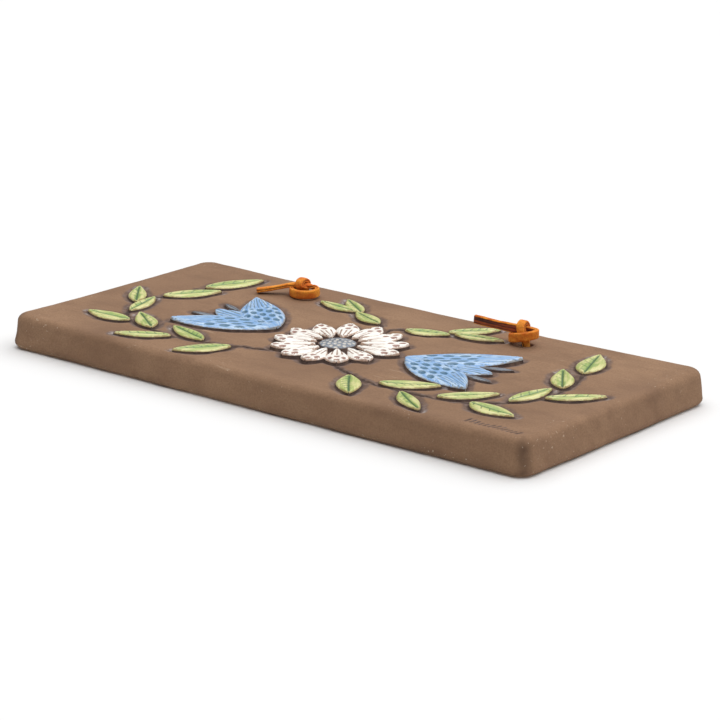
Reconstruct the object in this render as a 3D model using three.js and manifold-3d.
// A long stoneware wall plaque with a carved and glazed flower relief, hung by a knotted leather lace.
// Millimetres. The finished part hangs: +X to the right, +Z up, its face towards -Y, its back on the
// plane Y = 0, and the origin on that plane where the nail bears on the lace.
// The plaque is shaped lying on its back (x along it, y up it, z out of its face) and then stood up.

import * as THREE from 'three';
import { mergeVertices } from 'three/addons/utils/BufferGeometryUtils.js';
import Module from 'manifold-3d';

const wasm = await Module();
wasm.setup();

// ---- driving dimensions ----

const LENGTH = 420; // the widest outline of the slab
const HEIGHT = 195;
const THICK = 22.5; // back to face, before the face is made uneven
const CORNER_R = 11; // seen from the front
const FLARE = 1.6; // the sides stand out towards the back by this much
const FRONT_ROUND_IN = 6; // the soft front edge
const FRONT_ROUND_DOWN = 5;
const BACK_ROUND = 4;
const CORNER_LIFT = 2.2; // the corners of the face stand higher than its middle
const FACE_DIP = 1.2; // and its middle lies lower than THICK

const RIM = 16; // the frame left round the sunk back
const RECESS = 8;
const RECESS_DRAFT = 1.5;

const HOLE_X = 92; // the two hanging holes
const HOLE_Y = 67;
const HOLE_R = 4;
const HANG_Y = 72; // where the nail bears on the lace
const LACE_W = 6;
const LACE_T = 3.2;

const MOAT_DEPTH = 1.2; // the ground cut away round each raised form
const MOAT_WIDTH = 2.8;
const LEAF = { rise: 0.7, crown: 0.9, rib: 1.1 }; // heights above the face
const PETAL = { rise: 1.4, crown: 1.2, rib: 0.9 };
const INNER_PETAL = { rise: 0.7, crown: 0.9, rib: 0.7 };
const STAMEN = { rise: 0.3, crown: 0.6, rib: 0.2 };
const STEM_WIDTH = 2.4; // the incised stems
const STEM_DEPTH = 1;

// ---- small helpers ----

const radians = THREE.MathUtils.degToRad;
const { lerp, smoothstep } = THREE.MathUtils;

// An even spread of small differences from one hand-made form to the next, from -1 to 1.
const vary = (k) => Math.sin(12.9 * k + 1);

// A closed solid through rings of [x, y, z] points, which run anticlockwise and are listed upwards.
function loft(rings, capEnd = true) {
  const n = rings[0].length;
  const index = [];
  for (let r = 0; r + 1 < rings.length; r++) {
    for (let i = 0; i < n; i++) {
      const a = r * n + i;
      const b = r * n + (i + 1) % n;
      index.push(a, b, b + n, a, b + n, a + n);
    }
  }
  const cap = (ring) => THREE.ShapeUtils.triangulateShape(ring.map(([x, y]) => new THREE.Vector2(x, y)), []);
  for (const [a, b, c] of cap(rings[0])) {
    index.push(a, c, b);
  }
  if (capEnd) {
    const top = (rings.length - 1) * n;
    for (const [a, b, c] of cap(rings.at(-1))) {
      index.push(top + a, top + b, top + c);
    }
  }
  return solidFrom(rings.flat(2), index);
}

// A solid with straight walls over an outline.
const prism = (outline, low, high) =>
  loft([low, high].map((z) => outline.map(([x, y]) => [x, y, z])));

function solidFrom(coordinates, index) {
  const geometry = new THREE.BufferGeometry();
  geometry.setAttribute('position', new THREE.Float32BufferAttribute(coordinates, 3));
  geometry.setIndex(index);
  return solidOf(geometry);
}

function solidOf(geometry) {
  const plain = geometry.clone();
  plain.deleteAttribute('normal');
  plain.deleteAttribute('uv');
  const merged = mergeVertices(plain, 1e-3);
  return new wasm.Manifold(new wasm.Mesh({
    numProp: 3,
    vertProperties: merged.attributes.position.array,
    triVerts: Uint32Array.from(merged.index.array),
  }));
}

const joined = (solids) => solids.reduce((all, one) => all.add(one));

// The biggest body of a solid, without the closed pockets that a knot holds inside it.
const biggest = (solid) => solid.decompose().reduce((a, b) => (b.volume() > a.volume() ? b : a));

function geometryOf(solid, move = (x, y, z) => z) {
  const mesh = solid.getMesh();
  const positions = Float32Array.from(mesh.vertProperties);
  for (let i = 0; i < positions.length; i += 3) {
    positions[i + 2] = move(positions[i], positions[i + 1], positions[i + 2]);
  }
  const geometry = new THREE.BufferGeometry();
  geometry.setAttribute('position', new THREE.BufferAttribute(positions, 3));
  geometry.setIndex(Array.from(mesh.triVerts));
  return geometry;
}

// ---- the slab ----

const ARC_STEPS = 5;
const LONG_STEPS = 8;
const SHORT_STEPS = 4;

// The slab's outline, inset from its widest, from the lower right corner anticlockwise.
function slabOutline(inset, radius = Math.max(CORNER_R - inset / 2, 4)) {
  const hx = LENGTH / 2 - inset - radius;
  const hy = HEIGHT / 2 - inset - radius;
  const corners = [[1, -1], [1, 1], [-1, 1], [-1, -1]];
  const points = [];
  corners.forEach(([sx, sy], c) => {
    for (let i = 0; i <= ARC_STEPS; i++) {
      const angle = radians(90 * (c - 1 + i / ARC_STEPS));
      points.push([sx * hx + radius * Math.cos(angle), sy * hy + radius * Math.sin(angle)]);
    }
    const [x, y] = points.at(-1);
    const [nx, ny] = corners[(c + 1) % 4];
    const next = c % 2 ? [nx * hx, y] : [x, ny * hy];
    const steps = c % 2 ? LONG_STEPS : SHORT_STEPS;
    for (let i = 1; i < steps; i++) {
      points.push([lerp(x, next[0], i / steps), lerp(y, next[1], i / steps)]);
    }
  });
  return points;
}

// How far the uneven face stands above or below THICK.
function faceLift(x, y) {
  const along = (2 * x / LENGTH) ** 2;
  const across = (2 * y / HEIGHT) ** 2;
  return CORNER_LIFT * along * (1 + across) / 2 - FACE_DIP;
}

// The unevenness fades out towards the back, which is flat.
const uneven = (x, y, z) => z + faceLift(x, y) * smoothstep(z, RECESS + 2, THICK);

function slab() {
  const rings = [];
  const BACK_STEPS = 3;
  const FRONT_STEPS = 4;
  for (let i = 0; i <= BACK_STEPS; i++) {
    const angle = radians(90 * i / BACK_STEPS);
    rings.push([BACK_ROUND * (1 - Math.sin(angle)), BACK_ROUND * (1 - Math.cos(angle))]);
  }
  for (let i = 0; i <= FRONT_STEPS; i++) {
    const angle = radians(90 * i / FRONT_STEPS);
    rings.push([
      FLARE + FRONT_ROUND_IN * (1 - Math.cos(angle)),
      THICK - FRONT_ROUND_DOWN * (1 - Math.sin(angle)),
    ]);
  }
  return loft(rings.map(([inset, z]) => slabOutline(inset).map(([x, y]) => [x, y, z])));
}

function recess() {
  const wall = (inset, z) => slabOutline(inset, 8).map(([x, y]) => [x, y, z]);
  return loft([
    wall(RIM - 2 * RECESS_DRAFT / RECESS, -2),
    wall(RIM + RECESS_DRAFT, RECESS),
  ]);
}

function hole(x) {
  const drill = new THREE.CylinderGeometry(HOLE_R, HOLE_R, 2 * THICK, 16);
  drill.rotateX(Math.PI / 2);
  drill.translate(x, HOLE_Y, THICK);
  return solidOf(drill);
}

// ---- raised forms: leaves and petals ----

// A form's outline and inner rings. It lies from its base towards `angle`, widest at `fullest` of its
// length, with its middle line bent sideways. `share` is how far out the ring lies, 0 on the middle line.
function formRing(form, share, grow = 0) {
  const { base, angle, length, width, fullest = 0.45, blunt = 0.85, bend = 0, steps = 7 } = form;
  const power = Math.log(0.5) / Math.log(fullest);
  const tipInset = 0.08 * (1 - share);
  const cos = Math.cos(radians(angle));
  const sin = Math.sin(radians(angle));
  const points = [];
  for (let i = 0; i < 2 * steps; i++) {
    const back = i > steps;
    const s = lerp(tipInset, 1 - tipInset, back ? 2 - i / steps : i / steps);
    const side = back ? 1 : -1;
    const half = (width / 2) * Math.sin(Math.PI * Math.min(s, 1) ** power) ** blunt;
    const isTip = i % steps === 0;
    const x = s * length + (isTip ? (i ? grow : -grow) : 0);
    const y = bend * length * s * s + side * (isTip ? 0 : share * half + grow);
    points.push([base[0] + x * cos - y * sin, base[1] + x * sin + y * cos]);
  }
  return points;
}

function pad(form, { rise, crown, rib }) {
  const rings = [
    [1, -MOAT_DEPTH - 0.5],
    [1, rise],
    [0.55, rise + crown],
    [0, rise + crown - rib],
  ];
  const ring = ([share, z]) => formRing(form, share).map(([x, y]) => [x, y, THICK + z]);
  return loft(rings.map(ring), false);
}

const moat = (form) => prism(formRing(form, 1, MOAT_WIDTH), THICK - MOAT_DEPTH, THICK + 5);

// A domed boss: the eye of a flower.
function boss([x, y], radius, rise, crown) {
  const profile = [[0, -MOAT_DEPTH - 0.5], [radius, -MOAT_DEPTH - 0.5], [radius, rise],
    [0.7 * radius, rise + 0.75 * crown], [0, rise + crown]];
  const dome = new THREE.LatheGeometry(profile.map(([r, z]) => new THREE.Vector2(r, z)), 16);
  dome.rotateX(Math.PI / 2);
  dome.translate(x, y, THICK);
  return solidOf(dome);
}

// ---- the spray: one open flower, two side blossoms, and leaves on incised stems ----

const FLOWER = { centre: [0, -10], eye: 12, petals: 13, reach: 44, petalWidth: 15.5 };

const petals = Array.from({ length: FLOWER.petals }, (_, k) => {
  const angle = 360 * k / FLOWER.petals + 6 + 2 * vary(k);
  const start = FLOWER.eye + 1.5;
  return {
    base: [
      FLOWER.centre[0] + start * Math.cos(radians(angle)),
      FLOWER.centre[1] + start * Math.sin(radians(angle)),
    ],
    angle,
    length: FLOWER.reach - start + 1.5 * vary(k + 0.5),
    width: FLOWER.petalWidth,
    fullest: 0.62,
    blunt: 0.7,
    steps: 6,
  };
});

// A side blossom opens away from the middle: an inner petal between two that curl outwards, with
// thin stamens standing out beyond them.
const BLOSSOM = { foot: [53, -8], angle: 8, length: 72, width: 31, spread: 19, curl: 0.2 };

function blossom(side) {
  const { foot, angle, length, width, spread, curl } = BLOSSOM;
  const base = [side * foot[0], foot[1]];
  const towards = (turn) => (side > 0 ? angle + turn : 180 - angle - turn);
  const petal = (turn, bend, share) => ({
    base,
    angle: towards(turn),
    length: length * share,
    width: width * share,
    bend: side * bend,
    fullest: 0.48,
    blunt: 0.8,
  });
  const stamen = (turn) => ({
    base: [
      base[0] + 0.62 * length * Math.cos(radians(towards(turn))),
      base[1] + 0.62 * length * Math.sin(radians(towards(turn))),
    ],
    angle: towards(turn * 1.2),
    length: 26,
    width: 5,
    fullest: 0.6,
    steps: 4,
  });
  return {
    outer: [petal(-spread, -curl, 1), petal(spread, curl, 1)],
    inner: petal(0, 0, 0.86),
    stamens: [-11, 11].map(stamen),
  };
}

// Stems on the right: from, bending by way of two points, to, then how many leaves, the length of leaves
// at its start and its end, and how far they turn from it. Each stem is repeated on the left.
const RIGHT_STEMS = [
  {
    path: [[24, -44], [80, -76], [202, -74], [157, 36]],
    leaves: 9,
    length: [35, 42],
    spread: 31,
    first: 0.11,
  },
  {
    path: [[3, 34], [5, 44], [12, 52], [41, 57]],
    leaves: 3,
    length: [28, 34],
    spread: 29,
    first: 0.22,
  },
].map((stem) => ({ ...stem, hand: 1 }));
const LAST_SIDE_LEAF = 0.83; // of the stem's length

const mirrored = ({ path, ...rest }) => ({ ...rest, path: path.map(([x, y]) => [-x, y]), hand: -1 });
const STEMS = [...RIGHT_STEMS, ...RIGHT_STEMS.map(mirrored)];

const stemCurve = ({ path }) =>
  new THREE.CubicBezierCurve(...path.map(([x, y]) => new THREE.Vector2(x, y)));

// Leaves stand by turns on one side and the other, and the last one ends the stem.
function leavesOn(stem, s) {
  const curve = stemCurve(stem);
  return Array.from({ length: stem.leaves }, (_, i) => {
    const isLast = i === stem.leaves - 1;
    const t = isLast ? 1 : lerp(stem.first, LAST_SIDE_LEAF, i / (stem.leaves - 2));
    const heading = THREE.MathUtils.radToDeg(curve.getTangentAt(t).angle());
    const side = (i % 2 ? 1 : -1) * stem.hand;
    const angle = heading + (isLast ? 0 : side * (stem.spread + 5 * vary(i + 3 * s)));
    const length = lerp(...stem.length, t) * (1 + 0.06 * vary(2 * i + s));
    const start = isLast ? 1 : 4;
    const at = curve.getPointAt(t);
    return {
      base: [at.x + start * Math.cos(radians(angle)), at.y + start * Math.sin(radians(angle))],
      angle,
      length,
      width: length * (0.37 + 0.06 * vary(5 * i + s)),
      bend: 0.05 * vary(i + s),
    };
  });
}

function stemGroove(stem) {
  const STEPS = 8;
  const curve = stemCurve(stem);
  const edge = (side) => Array.from({ length: STEPS + 1 }, (_, i) => {
    const t = i / STEPS;
    const along = curve.getTangent(t);
    const half = side * STEM_WIDTH * (1 - 0.4 * t) / 2;
    const at = curve.getPoint(t);
    return [at.x + along.y * half, at.y - along.x * half];
  });
  return prism([...edge(1), ...edge(-1).reverse()], THICK - STEM_DEPTH, THICK + 5);
}

const leaves = STEMS.flatMap(leavesOn);
const blossoms = [-1, 1].map(blossom);
const raised = [
  ...leaves.map((form) => [form, LEAF]),
  ...petals.map((form) => [form, PETAL]),
  ...blossoms.flatMap(({ outer, inner, stamens }) => [
    ...outer.map((form) => [form, PETAL]),
    [inner, INNER_PETAL],
    ...stamens.map((form) => [form, STAMEN]),
  ]),
];

const flowerGround = Array.from({ length: 28 }, (_, i) => {
  const angle = 2 * Math.PI * i / 28;
  const reach = FLOWER.reach + MOAT_WIDTH;
  return [FLOWER.centre[0] + reach * Math.cos(angle), FLOWER.centre[1] + reach * Math.sin(angle)];
});

const ground = joined([
  prism(flowerGround, THICK - MOAT_DEPTH, THICK + 5),
  ...raised.filter(([form]) => !petals.includes(form)).map(([form]) => moat(form)),
  ...STEMS.map(stemGroove),
]);
const relief = joined([
  ...raised.map(([form, heights]) => pad(form, heights)),
  boss(FLOWER.centre, FLOWER.eye, PETAL.rise, 2.4),
]);
const plaqueSolid = slab()
  .subtract(joined([recess(), hole(-HOLE_X), hole(HOLE_X), ground]))
  .add(relief);

// ---- the lace ----

// The way of the lace through each overhand knot and on to its end: place from the mouth of its hole,
// then the direction of its wide side. It rises from the hole in front, bends back over the tail, goes
// once round its own rise, on edge, and out under the bend.
const ACROSS = [0, -1, 0];
const UP = [0, 0, 1];
const WEST = [-1, 0, 0];
const TURNING = [-0.5, -0.85, 0];
const TILTED = [-0.7, 0, 0.7];
const ASLANT = [0, -0.7, 0.7];
const KNOTS = {
  left: [
    [[0, 0, 1], ACROSS],
    [[0, -1.4, 4.4], TURNING],
    [[-2, -4.2, 7.6], WEST],
    [[-2.8, -3, 10], WEST],
    [[-3.2, 1.2, 10.8], WEST],
    [[-3.8, 5.2, 8.2], WEST],
    [[-6, 6.4, 4.8], TILTED],
    [[-8.6, 3.8, 3.6], UP],
    [[-9.4, -1.6, 3.4], UP],
    [[-7.2, -6.6, 3.4], UP],
    [[-2, -9.2, 3.4], UP],
    [[4.2, -8.6, 3.5], UP],
    [[8.8, -4.2, 3.7], UP],
    [[9, 1.4, 4.4], UP],
    [[5.4, 3.6, 5.8], ASLANT],
    [[0.6, 1.8, 7], ACROSS],
    [[-4, 0.6, 7.2], ACROSS],
    [[-10, -3.2, 6.8], ACROSS],
    [[-20, -9.8, 4.3], ACROSS],
    [[-29.5, -16.4, 2.4], ACROSS],
  ],
  right: [
    [[-0.7, 0, 1], ACROSS],
    [[-0.9, -1, 5], TURNING],
    [[-2, -3.2, 9.2], WEST],
    [[-3.4, -2.2, 12.8], WEST],
    [[-4.2, 1.6, 14.2], WEST],
    [[-5.2, 5.6, 11.4], WEST],
    [[-7.4, 7, 6.8], TILTED],
    [[-10.6, 4.8, 4.2], UP],
    [[-11.8, 0.4, 3.8], UP],
    [[-9.2, -4.6, 4.4], UP],
    [[-3.4, -6.8, 6], UP],
    [[2.4, -6.2, 7.4], UP],
    [[6, -2, 8.2], UP],
    [[5.4, 2.8, 8.4], UP],
    [[1.4, 3, 8.8], UP],
    [[-4, 1.6, 9.2], UP],
    [[-10, 0.6, 9.4], UP],
    [[-22, -1, 9.8], UP],
    [[-39.5, -2.4, 10.8], UP],
  ],
};
const BEHIND = 3.5; // the middle of the lace behind the plaque, from the wall
const APEX = 8; // how far the nail lifts the middle of the lace above the holes

function knotAndTail(name, side) {
  const x = side * HOLE_X;
  const mouth = uneven(x, HOLE_Y, THICK);
  return KNOTS[name].map(([p, wide]) => [[x + p[0], HOLE_Y + p[1], mouth + p[2]], wide]);
}

// From a hole towards the middle, behind the plaque.
function strand(side) {
  const place = (x, rise, z) => [[side * x, HOLE_Y + rise, z], ACROSS];
  return [
    place(HOLE_X, 0, THICK - 8),
    place(HOLE_X, 0, RECESS + 2),
    place(HOLE_X - 1.6, 0.2, BEHIND + 2),
    place(HOLE_X - 6, 0.6, BEHIND),
    place(HOLE_X / 2, APEX / 2, BEHIND),
    place(8, APEX - 0.5, BEHIND),
  ];
}

const route = [
  ...knotAndTail('left', -1).reverse(),
  ...strand(-1),
  [[0, HOLE_Y + APEX, BEHIND], ACROSS],
  ...strand(1).reverse(),
  ...knotAndTail('right', 1),
];

// The corners of the lace's section at every half step of its route.
function laceRings() {
  const STEPS = 2;
  const curve = new THREE.CatmullRomCurve3(route.map(([p]) => new THREE.Vector3(...p)), false, 'centripetal');
  const last = route.length - 1;
  return Array.from({ length: last * STEPS + 1 }, (_, i) => {
    const at = Math.min(Math.floor(i / STEPS), last - 1);
    const between = i / STEPS - at;
    const t = i / STEPS / last;
    const along = curve.getTangent(t);
    const wide = new THREE.Vector3(...route[at][1]).lerp(new THREE.Vector3(...route[at + 1][1]), between);
    wide.addScaledVector(along, -wide.dot(along)).setLength(LACE_W / 2);
    const thick = new THREE.Vector3().crossVectors(along, wide).setLength(LACE_T / 2);
    const corner = (a, b) => curve.getPoint(t).addScaledVector(wide, a).addScaledVector(thick, b).toArray();
    return [corner(-1, -1), corner(1, -1), corner(1, 1), corner(-1, 1)];
  });
}

// A stretch of the lace between two flat ends.
function stretch(rings) {
  const end = 4 * (rings.length - 1);
  const index = [0, 2, 1, 0, 3, 2, end, end + 1, end + 2, end, end + 2, end + 3];
  for (let a = 0; a < end; a++) {
    const b = a % 4 === 3 ? a - 3 : a + 1;
    index.push(a, b, b + 4, a, b + 4, a + 4);
  }
  return solidFrom(rings.flat(2), index);
}

// The lace crosses itself in the knots, so it is joined from short stretches that don't.
function laceSolid() {
  const STRETCH = 4;
  const rings = laceRings();
  const stretches = [];
  for (let i = 0; i + 1 < rings.length; i += STRETCH) {
    stretches.push(stretch(rings.slice(i, i + STRETCH + 2)));
  }
  return biggest(joined(stretches));
}

// ---- the part ----

function piece(name, geometry, colour, roughness) {
  const material = new THREE.MeshStandardMaterial({ color: colour, roughness, metalness: 0 });
  const mesh = new THREE.Mesh(geometry, material);
  mesh.name = name;
  return mesh;
}

const part = new THREE.Group();
part.rotation.x = Math.PI / 2;
part.position.z = -HANG_Y;
part.add(piece('plaque', geometryOf(plaqueSolid, uneven), 0x7d5c44, 0.9));
part.add(piece('lace', geometryOf(laceSolid()), 0xc06a28, 0.75));

export default part;
